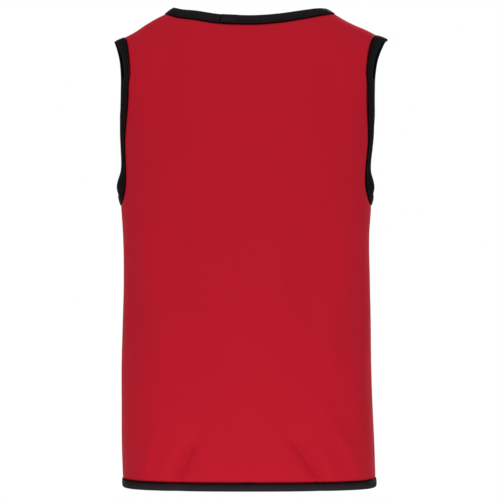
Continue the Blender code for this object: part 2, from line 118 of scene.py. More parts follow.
# Folds and creases of each panel: each end as distance round the body from the centre and
# height, half the width, and how far it stands out (or in, below zero)
FOLDS = {
    "back_panel": (
        (-95, -265, -92, -410, 26, -2.6), (82, -260, 80, -405, 26, -2.6),
        (-128, -390, -120, -520, 26, 2.4), (122, -395, 112, -515, 26, 2.4),
        (-150, -520, -172, -660, 24, -3.2), (128, -505, 168, -655, 24, -3.2),
        (-66, -585, -108, -662, 20, -3.6), (68, -585, 104, -662, 20, -3.6),
    ),
    "front_panel": (
        (-70, -230, -84, -430, 30, -2.6), (84, -250, 76, -400, 28, -2.4),
        (-120, -480, -148, -658, 26, -3.2), (96, -520, 138, -660, 26, -3.4),
        (-20, -560, -38, -660, 24, -2.6), (30, -150, 12, -300, 34, 2.2),
    ),
}
CREASES = {
    "back_panel": (
        (-73, -592, -106, -655, 7, -4.6), (-96, -594, -129, -656, 11, 3.4),
        (-124, -562, -156, -656, 9, 2.6), (-148, -524, -172, -654, 20, 1.8),
        (54, -582, 108, -656, 7, -4.6), (91, -592, 126, -656, 11, 3.4),
        (144, -586, 170, -654, 18, 1.6), (127, -576, 171, -656, 9, 2.6),
        (119, -508, 140, -582, 11, -1.5), (-100, -276, -82, -424, 18, -4.4),
        (87, -280, 72, -376, 18, -4.0), (71, -346, 92, -446, 16, -3.8),
        (-119, -398, -121, -500, 12, 3.4), (125, -400, 120, -500, 12, 3.4),
        (-174, -356, -170, -476, 16, -2.6), (171, -356, 168, -480, 16, -2.6),
        (-80, -412, -70, -596, 17, -2.6), (86, -424, 56, -588, 17, -2.6),
        (-10, -300, -10, -520, 30, 3.4), (-174, -250, -120, -300, 9, -0.8),
        (168, -248, 118, -306, 9, -0.8), (-96, -112, -30, -172, 18, -2.4),
        (98, -104, 30, -170, 18, -2.8), (-126, -36, -122, -184, 24, -4.0),
        (124, -34, 126, -190, 24, -4.0),
    ),
    "front_panel": (
        (-168, -252, -104, -318, 8, -2.0), (170, -250, 112, -310, 8, -2.2),
        (-56, -590, -88, -654, 7, -4.2), (-76, -600, -106, -654, 7.5, 3.0),
        (66, -574, 112, -654, 7, -4.4), (92, -598, 128, -654, 7.5, 3.0),
        (92, -300, 70, -440, 13, -3.4), (-84, -330, -62, -460, 14, -3.6),
        (-140, -150, -96, -196, 10, -1.6), (142, -160, 104, -210, 10, -1.6),
        (-60, -96, -22, -150, 11, -1.4),
    ),
}
# How far above the hem's tape the creases take to rise, and how far from the side seams
# and armholes the folds and creases do
CREASE_HEM_REACH = 12.0 * MM
FOLD_SEAM_REACH = 45.0 * MM
# The share of a fold's run over which it rises, and how high it already is at its end
FOLD_TAPER = 0.4
FOLD_END_DEPTH = 0.25

# How finely the cloth is divided
BACK_CELLS = 120
NECK_CELLS = 90
SEAM_CELLS = (BACK_CELLS - NECK_CELLS) // 2
SIDE_CELLS = 14
BODY_ROWS = 96
YOKE_ROWS = 24
ROLL_ROWS = 30
CURVE_SAMPLES = 161
LINE_STEP = 0.25 * MM
# How many neighbours on each side smooth a band's normals and its run
NORMAL_REACH = 2
RUN_REACH = 1

# The tapes' looks: how finely they are divided, how their free edges are pressed down,
# and how they crown beyond the stitches
TAPE_STEP = 2.4 * MM
LEG_STARTS = (0.0, 0.3, 0.8, 1.3, 1.8, 2.3, 2.8, 3.3)
LEG_REST = 0.3
LEG_POINTS = 6
FOLD_POINTS = 7
TAPE_EDGE = 0.9 * MM
TAPE_BLUNT = TAPE_EDGE / 3
TAPE_PRESS = 0.7 * MM
TAPE_CLEAR = 0.15 * MM
TAPE_CROWN = 0.3 * MM
# Where the neck's tape laps over its own beginning, how high and how sharply it rises, the
# notch before it, how gently it ends, the reach of its painted shadow lines, and where its own
# stitches lie
NECK_LAP = (-43.0 * MM, -16.0 * MM)
LAP_RISE = 0.4 * MM
LAP_STEP = 0.35 * MM
LAP_STATIONS = 13
LAP_STATION_REACH = 3.0
LAP_GAP = 0.7 * MM
LAP_FADE = 6.0 * MM
LAP_SHADOW_REACH = 0.8 * MM
LAP_STITCH_INSET = 5.6 * MM
LAP_STITCH_MARGIN = 3.0 * MM

# The stitches
STITCH_INSET = 2.3 * MM
STITCH_SINK = 0.3 * MM
STITCH_GROOVE = 0.8 * MM
STITCH_PITCH = 4.0 * MM
STITCH_LENGTH = 2.4 * MM
THREAD = 0.75 * MM
THREAD_RISE = 0.02 * MM
THREAD_SEGMENTS = 8
THREAD_RINGS = 4

# A Mix node's two colours among its inputs, and their mix among its outputs
MIX_COLOURS = (6, 7)
MIX_RESULT = 2

# Noises: each one's scale, its detail and, where it is drawn out, its stretch
MOTTLE = (260.0, 3.0)
BARS = (60.0, 2.0, (0.25, 14.0, 1.0))
PATCHES = (9.0, 2.0)
PUCKERING = (45.0, 1.0)
FLUFF = (420.0, 2.0)
STREAKS = (110.0, 2.0, (1.0, 0.3, 1.0))
TAPE_WAVES = (130.0, 1.0)
FIBRES = (900.0, 1.0)
FLOOR_CLOUDS = (3.0, 2.0)

# The looks of cloth, tape and thread. A tone is a share between a low and a high colour:
# first the middle one, then what each pattern adds to it.
KNIT_TONE = 0.42
MOTTLE_TONE = 0.5
BAR_TONE = 0.45
PATCH_TONE = 0.3
LOOP_TONE = 0.16
TAPE_TONE = 0.75
FLUFF_TONE = 0.4
STREAK_TONE = 0.3
TWILL_TONE = 0.1
FIBRE_TONE = 1.4
WALE_PITCH = 1.1 * MM
# Keeps the count of the knit's columns above nought
FIRST_WALE = 100.0
KNIT_LEG = 0.25
LOOP_SHARE = 0.6
COURSE_PITCH = 0.9 * MM
KNIT_DEPTH = 0.05 * MM
PUCKER_PITCH = 6.5 * MM
SEAM_PUCKER_PITCH = 8.0 * MM
PUCKER_REACH = 9.0 * MM
PUCKER_DEPTH = 0.1 * MM
PUCKER_UNEVENNESS = 1.6
PUCKER_DRIFT = 1.2 * MM
SEAM_LINE = 1.2 * MM
SEAM_DEPTH = 0.5 * MM
# Painted shade on the knit: how far from a tape's edge it reaches, and how dark it is there and
# along the seams
TAPE_PAINTED_SHADE_REACH = 1.5 * MM
TAPE_PAINTED_SHADE = 0.9
SEAM_PAINTED_SHADE = 0.45
CLOTH_WAVE = 0.4 * MM
TWILL_PITCH = 0.9 * MM
TWILL_DEPTH = 0.03 * MM
DIMPLE_DEPTH = 0.15 * MM
# Painted shade on a tape, as dark lines: along its free edge, along its stitches, and a painted
# shadow at both ends of a lap
EDGE_LINE = 2.2 * MM
EDGE_PAINTED_SHADE = 0.7
STITCH_LINE = 0.9 * MM
STITCH_PAINTED_SHADE = 0.3
LAP_START_PAINTED_SHADOW = 1.2
LAP_END_PAINTED_SHADOW = 0.4
CLOTH_ROUGHNESS = 0.8
ROUGHNESS_SPREAD = 0.1
CLOTH_IOR = 1.1
CLOTH_SHEEN = 0.18
CLOTH_SHEEN_ROUGHNESS = 0.35
RED_SHEEN = (0.60, 0.022, 0.050)
CHARCOAL_SHEEN = (0.05, 0.05, 0.06)
TAPE_ROUGHNESS = 0.6
TAPE_IOR = 1.04
THREAD_ROUGHNESS = 0.6
THREAD_IOR = 1.3
FLOOR_ROUGHNESS = 0.9
FLOOR_IOR = 1.2
RED_LOW = (0.205, 0.0030, 0.0086)
RED_HIGH = (0.250, 0.0052, 0.0120)
# The colour the red is darkened to as painted shade beside the tapes and along the seams
RED_PAINTED_SHADE = (0.040, 0.0010, 0.0022)
CHARCOAL_LOW = (0.010, 0.010, 0.012)
CHARCOAL_HIGH = (0.016, 0.016, 0.019)
# The colour the charcoal is darkened to as painted shade beside the tapes and along the seams
CHARCOAL_PAINTED_SHADE = (0.003, 0.003, 0.004)
# Each tape's darkest and palest tone, and how much paler it grows towards its fold. All are painted
# light:
# # the same black tape is lit paler at the hem and shaded darker at the armholes, and its fold is
# painted paler.
TAPE_PAINTED_LIGHT_TONES = {
    "neck": ((0.0008, 0.0006, 0.0008), (0.0074, 0.0066, 0.0076), 0.45),
    "armhole": ((0.0004, 0.0003, 0.0004), (0.0052, 0.0050, 0.0056), 0.8),
    "hem": ((0.0020, 0.0016, 0.0020), (0.0106, 0.0094, 0.0106), 0.7),
}
THREAD_LOW = (0.036, 0.0034, 0.0044)
THREAD_HIGH = (0.070, 0.0070, 0.0090)
FLOOR_LOW = (0.78, 0.78, 0.78)
FLOOR_HIGH = (0.82, 0.82, 0.82)

# The cuts before sewing, width at the hem and length from the raw hem to the shoulder at
# the neck, and their areas in square metres
BACK_CUT = (0.544, 0.718)
BACK_CUT_AREA = 0.319
FRONT_CUT = (0.519, 0.710)
FRONT_CUT_AREA = 0.308

# The camera and the lights: each light's name, place, target, size and power
CAMERA_DISTANCE = 5.7
CAMERA_HEIGHT = -0.326
VIEW_WIDTH = 0.725
FLOOR_HEIGHT = -1.45
FLOOR_REACH = 3.0
LIGHTS = (
    ("low_light", (0.0, -1.05, -1.05), (0.0, 0.0, -0.62), 0.5, 12.0),
    ("high_light", (0.0, -0.95, 1.0), (0.0, 0.0, -0.1), 0.5, 16.0),
    ("left_light", (-2.2, -0.2, -0.45), (0.0, 0.0, -0.45), 0.9, 10.0),
    ("right_light", (2.2, -0.2, -0.45), (0.0, 0.0, -0.45), 0.9, 10.0),
    ("chest_light", (0.5, 2.6, 0.6), (0.0, 0.0, -0.3), 1.4, 58.0),
)


def smooth_value(places, values, at):
    """A smooth curve through the values, read at one or more places between them."""
    slopes = np.gradient(values, places)
    i = np.clip(np.searchsorted(places, at) - 1, 0, len(places) - 2)
    step = places[i + 1] - places[i]
    t = (at - places[i]) / step
    return (
        (1 + 2 * t) * (1 - t) ** 2 * values[i]
        + t * (1 - t) ** 2 * step * slopes[i]
        + t * t * (3 - 2 * t) * values[i + 1]
        - t * t * (1 - t) * step * slopes[i + 1]
    )


def table_value(table, at, scale=1.0):
    """The smooth value of a table of places in millimetres and values to be scaled."""
    table = np.array(table)
    return smooth_value(table[:, 0] * MM, table[:, 1] * scale, at)


def smoothstep(t):
    t = np.clip(t, 0.0, 1.0)
    return t * t * (3 - 2 * t)


def unit(vectors):
    return vectors / np.linalg.norm(vectors, axis=-1, keepdims=True)


def running_length(points):
    """The length from the first point to each point of a line."""
    return np.concatenate([[0.0], np.cumsum(np.linalg.norm(np.diff(points, axis=0), axis=1))])


# The worn body, the same form as the solids'


def section_size(column, height):
    """One size of the body's section, in metres or as a plain ratio, at these heights."""
    table = np.array(SECTIONS)[::-1]
    scale = 1.0 if column.startswith("flat") else MM
    values = table[:, SECTION_COLUMNS.index(column)] * scale
    return smooth_value(table[:, 0] * MM, values, height)


def section_point(panel, bend, height):
    """A point of the body: bend runs from 0 at the centre to 1 or -1 at the side seam."""
    bend, height = np.broadcast_arrays(bend, height)
    s = np.abs(bend)
    across = section_size("flat_across", height)
    side = section_size("flat_side", height)
    width = 3 * across * (1 - s) ** 2 * s + 3 * (1 - s) * s**2 + s**3
    depth = (1 - s) ** 3 + 3 * (1 - s) ** 2 * s + 3 * side * (1 - s) * s**2
    x = section_size("shift", height) + np.sign(bend) * width * section_size("half_width", height)
    y = panel["faces"] * depth * section_size("back" if panel["faces"] < 0 else "front", height)
    return np.stack([x, y, height], axis=-1)


def even_bends(panel, end, height):
    """The bends that part the section, from the centre to the bend end, into cells of the
    same length."""
    bends = np.linspace(0.0, end, CURVE_SAMPLES)
    lengths = running_length(section_point(panel, bends, height))
    fractions = np.linspace(0.0, 1.0, BACK_CELLS // 2 + 1)
    return np.interp(fractions * lengths[-1], lengths, bends)


def armhole_bend(panel, height):
    """The bend at which the armhole's inner tape line crosses the section at this height."""
    rise = panel["roll_height"] - UNDERARM_HEIGHT
    drop = np.clip((panel["roll_height"] - height) / rise, 0.0, 1.0)
    depth = panel["armhole_depth"] * table_value(ARMHOLE_CUT, height)
    depth = depth * (1 - drop**ARMHOLE_ROUNDNESS) ** (1 / ARMHOLE_ROUNDNESS)
    bends = np.linspace(1.0, 0.0, 2 * CURVE_SAMPLES)
    return np.interp(depth, np.abs(section_point(panel, bends, height)[:, 1]), bends)


def body_rows(panel):
    """Rows of points from the hem's tape line up to the armholes, side seam to side seam."""
    bottom = HEM_HEIGHT + HEM_TAPE_WIDTH
    corner = armhole_bend(panel, ARMHOLE_CORNER_HEIGHT)
    turn = np.linspace(0.0, np.pi / 2, SIDE_CELLS + 1)
    side_tops = ARMHOLE_CORNER_HEIGHT + (UNDERARM_HEIGHT - ARMHOLE_CORNER_HEIGHT) * np.sin(turn)
    side_bends = np.array([armhole_bend(panel, top) for top in side_tops])
    low_bends = 1 - (1 - corner) * np.linspace(1.0, 0.0, SIDE_CELLS + 1)
    rows = []
    for up in np.linspace(0.0, 1.0, BODY_ROWS + 1):
        level = bottom + (ARMHOLE_CORNER_HEIGHT - bottom) * up
        middle = even_bends(panel, corner, level)
        side_level = bottom + (side_tops - bottom) * up
        side = low_bends + (side_bends - low_bends) * up
        bends = np.concatenate([middle, side[1:]])
        levels = np.concatenate([np.full(len(middle), level), side_level[1:]])
        levels += HEM_SIDE_RISE * (1 - up) ** 2 * (1 - (1 - bends**2) ** HEM_RISE_POWER)
        right = section_point(panel, bends, levels)
        left = section_point(panel, -bends[:0:-1], levels[:0:-1])
        rows.append(np.concatenate([left, right]))
    return rows


def yoke_row(panel, height):
    """One level row between the armholes' inner tape lines."""
    bends = even_bends(panel, armhole_bend(panel, height), height)
    return section_point(panel, np.concatenate([-bends[:0:-1], bends]), height)


def body_depth(panel, across, height):
    """How far the body's sections stand from the side seams at places across, at a height."""
    bends = np.linspace(0.0, 1.0, CURVE_SAMPLES)
    depths = []
    for x, z in zip(across, height):
        side = section_point(panel, bends if x >= 0 else -bends, z)
        depths.append(np.interp(abs(x), np.abs(side[:, 0]), np.abs(side[:, 1])))
    return np.array(depths)


def neck_share(across):
    """How far a place across lies from the middle of the neck opening towards its ends."""
    left, right = LEFT_SEAM[-1][0] * MM, RIGHT_SEAM[0][0] * MM
    return np.minimum(np.abs(across - (left + right) / 2) / ((right - left) / 2), 1.0)


def ridge_height(across):
    """The height of the shoulders' ridge, and of its smooth run above the neck opening."""
    ends = np.array((LEFT_SEAM[-1], RIGHT_SEAM[0])) * MM
    neck = np.interp(across, ends[:, 0], ends[:, 1]) + NECK_RISE * (1 - neck_share(across) ** 2)
    ridge = np.where(across < ends[0, 0], table_value(LEFT_SEAM, across, MM), neck)
    return np.where(across > ends[1, 0], table_value(RIGHT_SEAM, across, MM), ridge)


def shoulder_point(panel, across, turn):
    """Points of the yoke: turn runs from 0, upright at the last level row, to a right
    angle on the ridge."""
    level = panel["roll_height"]
    height = level + (ridge_height(across) - level) * np.sin(turn)
    depth = body_depth(panel, across, height) * np.cos(turn)
    return np.stack([across, panel["faces"] * depth, height], axis=-1)


def neck_turns(panel, across):
    """How far the yoke has turned over where the neckline cuts it."""
    if panel["faces"] < 0:
        height = table_value(BACK_NECKLINE, across, MM)
    else:
        scoop = (1 - neck_share(across) ** FRONT_NECK_ROUNDNESS) ** (1 / FRONT_NECK_ROUNDNESS)
        ends = RIGHT_SEAM[0][1] * MM
        height = ends + (FRONT_NECK_HEIGHT - ends) * scoop**FRONT_NECK_POWER
    level = panel["roll_height"]
    sine = (height - level) / (ridge_height(across) - level)
    return np.arcsin(np.clip(sine, 0.0, 1.0))


def top_line(panel):
    """Places across and turns along the neckline's inner tape line and the shoulder seams."""
    tip_left, left = LEFT_SEAM[0][0] * MM, LEFT_SEAM[-1][0] * MM
    right, tip_right = RIGHT_SEAM[0][0] * MM, RIGHT_SEAM[-1][0] * MM
    swing = np.sin(np.linspace(-np.pi / 2, np.pi / 2, 4 * NECK_CELLS + 1))
    across = (left + right) / 2 + swing * (right - left) / 2
    turns = neck_turns(panel, across)
    lengths = running_length(shoulder_point(panel, across, turns))
    at = np.linspace(0.0, lengths[-1], NECK_CELLS + 1)
    left_seam = np.linspace(tip_left, left, SEAM_CELLS + 1)[:-1]
    right_seam = np.linspace(right, tip_right, SEAM_CELLS + 1)[1:]
    over = np.full(SEAM_CELLS, np.pi / 2)
    return (
        np.concatenate([left_seam, np.interp(at, lengths, across), right_seam]),
        np.concatenate([over, np.interp(at, lengths, turns), over]),
    )


def roll_rows(panel):
    """Rows from the last level row over the shoulders to the top line."""
    start = yoke_row(panel, panel["roll_height"])[:, 0]
    across, turns = top_line(panel)
    shares = np.linspace(0.0, 1.0, ROLL_ROWS + 1)[1:]
    return [
        shoulder_point(panel, start + (across - start) * t**ROLL_POWER, turns * t) for t in shares
    ]


# Folds and the panels' meshes


def row_normals(rows, faces):
    """Outward directions at each point of rows of equal length."""
    grid = np.array(rows)
    normal = unit(np.cross(np.gradient(grid, axis=1), np.gradient(grid, axis=0)))
    return normal * np.sign(np.sum(normal[..., 1]) * faces)


def fold_height(table, around, height, seam_distance):
    """How far a table of folds moves the cloth out at a distance round the body and a height."""
    total = np.zeros_like(around)
    for across_a, height_a, across_b, height_b, half_width, depth in table:
        start = np.array((across_a, height_a)) * MM
        run = np.array((across_b, height_b)) * MM - start
        length = np.hypot(*run)
        along = ((around - start[0]) * run[0] + (height - start[1]) * run[1]) / length**2
        off = ((around - start[0]) * run[1] - (height - start[1]) * run[0]) / length
        rise, fall = along / FOLD_TAPER, (1 - along) / FOLD_TAPER
        ends = smoothstep(rise + FOLD_END_DEPTH) * smoothstep(fall + FOLD_END_DEPTH)
        total += depth * MM * ends * np.exp(-((off / (half_width * MM)) ** 2))
    return total * smoothstep(seam_distance / FOLD_SEAM_REACH)


def folded(panel, rows):
    """The rows with the panel's folds and creases added, and each point's place on the
    cloth: round the body from the centre, and up from the first row."""
    grid = np.array(rows)
    steps = np.linalg.norm(np.diff(grid, axis=1), axis=-1)
    around = np.concatenate([np.zeros((len(grid), 1)), np.cumsum(steps, axis=1)], axis=1)
    middle = around.shape[1] // 2
    seam_distance = np.minimum(around, around[:, -1:] - around)
    around = around - around[:, middle : middle + 1]
    height = grid[..., 2]
    lift = fold_height(CREASES[panel["name"]], around, height, seam_distance)
    lift *= smoothstep((height - HEM_HEIGHT - HEM_TAPE_WIDTH) / CREASE_HEM_REACH)
    lift += fold_height(FOLDS[panel["name"]], around, height, seam_distance)
    rise = np.linalg.norm(np.diff(grid, axis=0), axis=-1)
    up = np.concatenate([np.zeros((1, grid.shape[1])), np.cumsum(rise, axis=0)])
    moved = grid + row_normals(rows, panel["faces"]) * lift[..., None]
    return moved, np.stack([around, up], axis=-1)


def shape_panel(row):
    """A panel's points inside its tapes, their places on the flat cloth, its faces, the
    lines where tapes begin, and its seams."""
    panel = dict(zip(PANEL_COLUMNS, row))
    for size in ("roll_height", "armhole_depth"):
        panel[size] *= MM
    low_rows = body_rows(panel)
    low, low_flat = folded(panel, low_rows)
    yoke = low_rows[-1][SIDE_CELLS:-SIDE_CELLS]
    levels = np.linspace(ARMHOLE_CORNER_HEIGHT, panel["roll_height"], YOKE_ROWS + 1)[1:]
    high_rows = [yoke] + [yoke_row(panel, level) for level in levels] + roll_rows(panel)
    high, high_flat = folded(panel, high_rows)
    high_flat[..., 1] += low_flat[-1, low_flat.shape[1] // 2, 1]
    side = panel["faces"] * SEWN_GAP / 2
    low[:, (0, -1), 1] = side
    high[-1, : SEAM_CELLS + 1, 1] = side
    high[-1, -SEAM_CELLS - 1 :, 1] = side

    low_index = np.arange(low.shape[0] * low.shape[1]).reshape(low.shape[:2])
    high_index = low_index.size + np.arange((high.shape[0] - 1) * high.shape[1])
    high_index = high_index.reshape(-1, high.shape[1])
    high_index = np.vstack([low_index[-1, SIDE_CELLS:-SIDE_CELLS], high_index])
    top = high_index[-1]
    lines = {
        "hem": low_index[0],
        "armhole_left": np.concatenate([low_index[-1, :SIDE_CELLS], high_index[:, 0]]),
        "armhole_right": np.concatenate([low_index[-1, : -SIDE_CELLS - 1 : -1], high_index[:, -1]]),
        "neck": top[SEAM_CELLS:-SEAM_CELLS],
    }
    seams = (low_index[:, 0], low_index[:, -1], top[: SEAM_CELLS + 1], top[-SEAM_CELLS - 1 :])
    return {
        "panel": panel,
        "points": list(np.concatenate([low.reshape(-1, 3), high[1:].reshape(-1, 3)])),
        "flat": list(np.concatenate([low_flat.reshape(-1, 2), high_flat[1:].reshape(-1, 2)])),
        "faces": grid_quads(low_index) + grid_quads(high_index),
        "lines": lines,
        "seams": seams,
    }


def grid_quads(index):
    quads = []
    for lower, upper in zip(index[:-1], index[1:]):
        quads += list(zip(lower[:-1], lower[1:], upper[1:], upper[:-1]))
    return quads


def point_normals(points, faces):
    """Directions out of a mesh at its points."""
    mesh = bmesh.new()
    verts = [mesh.verts.new(point) for point in points]
    for face in faces:
        mesh.faces.new([verts[i] for i in face])
    mesh.normal_update()
    normals = np.array([vert.normal for vert in verts])
    mesh.free()
    return normals


def turn_outward(shape):
    """Turns the panel's faces to look away from the wearer, and keeps its normals."""
    normals = point_normals(shape["points"], shape["faces"])
    if normals[:, 1].sum() * shape["panel"]["faces"] < 0:
        shape["faces"] = [face[::-1] for face in shape["faces"]]
        normals = -normals
    shape["normals"] = list(normals)


def ring_of(shapes, line):
    """The stations round an opening: the back panel's line, then the front's in reverse.
    Each station lists its (shape, point number) pairs, two of them on a seam."""
    back, front = (shape["lines"][line] for shape in shapes)
    stations = [[(shapes[0], i)] for i in back] + [[(shapes[1], i)] for i in front[-2:0:-1]]
    stations[0].append((shapes[1], front[0]))
    stations[len(back) - 1].append((shapes[1], front[-1]))
    return stations


def station_mean(stations, values):
    """Each station's mean of one of its shapes' lists of values."""
    return np.array(
        [np.mean([shape[values][i] for shape, i in members], axis=0) for members in stations]
    )


def ring_average(values, reach):
    """Values round a ring, each averaged with its neighbours."""
    total = np.zeros_like(values)
    for step in range(-reach, reach + 1):
        total += np.roll(values, step, axis=0)
    return total / (2 * reach + 1)


def add_band(shapes, line, width, flare):
    """Widens both panels by a strip out to the raw edge that the tape covers. Returns the
    ring of inner points, with the directions out to the raw edge and off the cloth."""
    stations = ring_of(shapes, line)
    inner = station_mean(stations, "points")
    normal = unit(ring_average(station_mean(stations, "normals"), NORMAL_REACH))
    run = np.roll(inner, -1, axis=0) - np.roll(inner, 1, axis=0)
    along = ring_average(run, RUN_REACH)
    outward = unit(np.cross(along, normal))
    middle = np.mean(np.concatenate([shape["points"] for shape in shapes]), axis=0)
    outward *= np.sign(np.sum(outward * (inner - middle)))
    outward = unit(outward + normal * flare(inner)[:, None])
    raw = inner + outward * width
    edge = []
    for members, place in zip(stations, raw):
        entry = {}
        for shape, i in members:
            at = place.copy()
            if len(members) == 2:
                at[1] = shape["panel"]["faces"] * SEWN_GAP / 2
            entry[shape["panel"]["name"]] = len(shape["points"])
            shape["points"].append(at)
            shape["flat"].append(shape["flat"][i])
        edge.append(entry)
    for j in range(len(stations)):
        k = (j + 1) % len(stations)
        for shape in shapes:
            name = shape["panel"]["name"]
            first = [i for owner, i in stations[j] if owner is shape]
            second = [i for owner, i in stations[k] if owner is shape]
            if first and second:
                shape["faces"].append((first[0], second[0], edge[k][name], edge[j][name]))
    return {"inner": inner, "outward": outward, "normal": normal, "width": width}


def no_flare(places):
    return np.zeros(len(places))


def neck_flare(places):
    """The neck's tape stands a little more upright than the cloth, most on the left."""
    return NECK_FLARE * (1 - places[:, 0] / NECK_FLARE_REACH)


def armhole_flare(places):
    """The armhole's tape leans in round the arm above, and curls out over the underarm."""
    return table_value(ARMHOLE_FLARES, places[:, 2])


def add_object(name, data):
    piece = bpy.data.objects.new(name, data)
    bpy.context.scene.collection.objects.link(piece)
    return piece


def mesh_object(name, points, faces):
    """A smooth mesh object at the origin."""
    mesh = bpy.data.meshes.new(name)
    mesh.from_pydata([tuple(p) for p in points], [], [tuple(int(i) for i in f) for f in faces])
    mesh.shade_smooth()
    return add_object(name, mesh)


def add_places(mesh, name, places, rings=None):
    """A UV map in metres from each point's place. A face that crosses the end of a ring of
    the given length counts on past it, instead of back to nought."""
    corners = np.empty(len(mesh.loops), np.int32)
    mesh.loops.foreach_get("vertex_index", corners)
    values = np.array(places, np.float32)[corners]
    if rings is not None:
        lengths = np.array(rings, np.float32)[corners]
        starts = np.array([face.loop_start for face in mesh.polygons])
        counts = np.array([face.loop_total for face in mesh.polygons])
        highest = np.repeat(np.maximum.reduceat(values[:, 0], starts), counts)
        values[:, 0] += np.where(highest - values[:, 0] > lengths / 2, lengths, 0.0)
    layer = mesh.uv_layers.new(name=name)
    layer.data.foreach_set("uv", values.ravel())


def nearest_places(points, lines):
    """For each point, how far along the nearest of the lines it lies, how far off it, and
    the length at which that line comes round to its start, which an open one never does."""
    samples, alongs, rings = [], [], []
    for line, closed in lines:
        line = np.concatenate([line, line[:1]]) if closed else line
        lengths = running_length(line)
        at = np.arange(0.0, lengths[-1], LINE_STEP)
        samples.append(np.stack([np.interp(at, lengths, line[:, i]) for i in range(3)], axis=-1))
        alongs.append(at)
        rings.append(np.full(len(at), lengths[-1] if closed else np.inf))
    samples, alongs, rings = (np.concatenate(parts) for parts in (samples, alongs, rings))
    tree = KDTree(len(samples))
    for i, sample in enumerate(samples):
        tree.insert(sample, i)
    tree.balance()
    found = [tree.find(point) for point in points]
    index = np.array([i for _, i, _ in found])
    distance = np.array([away for _, _, away in found])
    return np.column_stack([alongs[index], distance]), rings[index]


def panel_piece(shape, name, outer, inner, tape_lines, seam_lines):
    """A panel as a thin wall: one finish outside, the other ply's finish inside."""
    piece = mesh_object(name, shape["points"], shape["faces"])
    add_places(piece.data, "flat_cloth", shape["flat"])
    for layer, lines in (("by_tape", tape_lines), ("by_seam", seam_lines)):
        places, rings = nearest_places(shape["points"], lines)
        add_places(piece.data, layer, places, rings)
    piece.data.materials.append(outer)
    piece.data.materials.append(inner)
    wall = piece.modifiers.new("Wall", "SOLIDIFY")
    wall.thickness = PANEL_WALL
    wall.offset = 0.0
    wall.material_offset = 1
    wall.material_offset_rim = 0
    return piece


# Tapes


def band_ring(band, lap=None):
    """Stations round a band, closer together where the tape's end laps over, with each
    one's distance round and how far the lap lifts it."""
    closed = {k: np.concatenate([band[k], band[k][:1]]) for k in ("inner", "outward", "normal")}
    lengths = running_length(closed["inner"])
    at = np.linspace(0.0, lengths[-1], int(round(lengths[-1] / TAPE_STEP)), endpoint=False)
    lift = np.zeros_like(at)
    ends = None
    if lap:
        back = band["inner"][:, 1] < 0
        ends = sorted(
            lengths[:-1][back][np.argmin(np.abs(band["inner"][back, 0] - across))] for across in lap
        )
        steps = np.linspace(-LAP_STATION_REACH, LAP_STATION_REACH, LAP_STATIONS)
        at = np.unique(np.concatenate([at, ends[0] + LAP_STEP * steps]))
        lift = LAP_RISE * smoothstep((at - ends[0]) / LAP_STEP)
        lift *= 1 - smoothstep((at - ends[1]) / LAP_FADE + 0.5)
        lift -= LAP_GAP * np.exp(-(((at - ends[0]) / LAP_STEP + 0.5) ** 2))
    ring = {
        k: np.stack([np.interp(at, lengths, v[:, i]) for i in range(3)], axis=-1)
        for k, v in closed.items()
    }
    for k in ("outward", "normal"):
        ring[k] = unit(ring[k])
    facts = {"along": at, "lift": lift, "lap": ends, "length": lengths[-1], "width": band["width"]}
    return {**ring, **facts}


def tape_height(out, width):
    """How high a leg of tape stands off the middle of the cloth, by distance from its free
    edge: pressed down there, sunk along the stitches and slightly crowned beyond them."""
    full = PANEL_WALL / 2 + SEAM_GAP + TAPE_WALL
    edge = PANEL_WALL / 2 + TAPE_EDGE
    beyond = np.clip((out - STITCH_INSET) / (width - STITCH_INSET), 0.0, 1.0)
    crown = TAPE_CROWN * np.sin(np.pi * beyond)
    sink = STITCH_SINK * np.exp(-(((out - STITCH_INSET) / STITCH_GROOVE) ** 2))
    return full - (full - edge) * np.exp(-out / TAPE_PRESS) + crown - sink


def tape_profile(width, lift):
    """The tape's closed cross section: how far out from the inner line, how far off the
    cloth, and how far from the tape's free edge each point lies."""
    rest = np.linspace(LEG_REST, 1.0, LEG_POINTS) * width
    out = np.concatenate([np.array(LEG_STARTS) * MM, rest])
    high = tape_height(out, width) + lift
    low = np.maximum(high - lift - TAPE_WALL, PANEL_WALL / 2 + TAPE_CLEAR)
    turns = np.linspace(np.pi / 2, -np.pi / 2, FOLD_POINTS + 2)[1:-1]

    def bow(radius, reach):
        return np.column_stack([width + radius * np.cos(turns), radius * np.sin(turns), reach])

    outer = np.column_stack([out, high, out])
    fold = bow(high[-1], width + (np.pi / 2 - np.abs(turns)) * high[-1])
    under = np.column_stack([out[::-1], low[::-1], np.zeros(len(out))])
    crook = bow(low[-1], 0 * turns)
    blunt = np.array([(-TAPE_BLUNT, (high[0] + low[0]) / 2, 0.0)])
    flip = np.array([1.0, -1.0, 1.0])
    return np.concatenate([
        outer, fold, outer[::-1] * flip, blunt * flip, under[::-1] * flip,
        crook[::-1], under, blunt,
    ])


def tape_piece(name, ring, finish):
    """One tape folded over the ring's raw edge, as a closed form."""
    profiles = [tape_profile(ring["width"], lift) for lift in ring["lift"]]
    count, stations = len(profiles[0]), len(profiles)
    points = [
        ring["inner"][j] + p[:, :1] * ring["outward"][j] + p[:, 1:2] * ring["normal"][j]
        for j, p in enumerate(profiles)
    ]
    places = [
        np.column_stack([np.full(count, ring["along"][j]), p[:, 2]]) for j, p in enumerate(profiles)
    ]
    index = np.arange(stations * count).reshape(stations, count)
    quads = []
    for this, after in zip(index, np.roll(index, -1, axis=0)):
        quads += list(zip(this, np.roll(this, -1), np.roll(after, -1), after))
    piece = mesh_object(name, np.concatenate(points), quads)
    places = np.concatenate(places)
    add_places(piece.data, "flat_tape", places, np.full(len(places), ring["length"]))
    start, end = ring["lap"] or (-ring["length"], -ring["length"])
    add_places(piece.data, "by_lap", np.column_stack([places[:, 0] - start, places[:, 0] - end]))
    volume = sum(f.center.dot(f.normal) * f.area for f in piece.data.polygons)
    if volume < 0:
        piece.data.flip_normals()
    piece.data.materials.append(finish)
    return piece


# Stitches


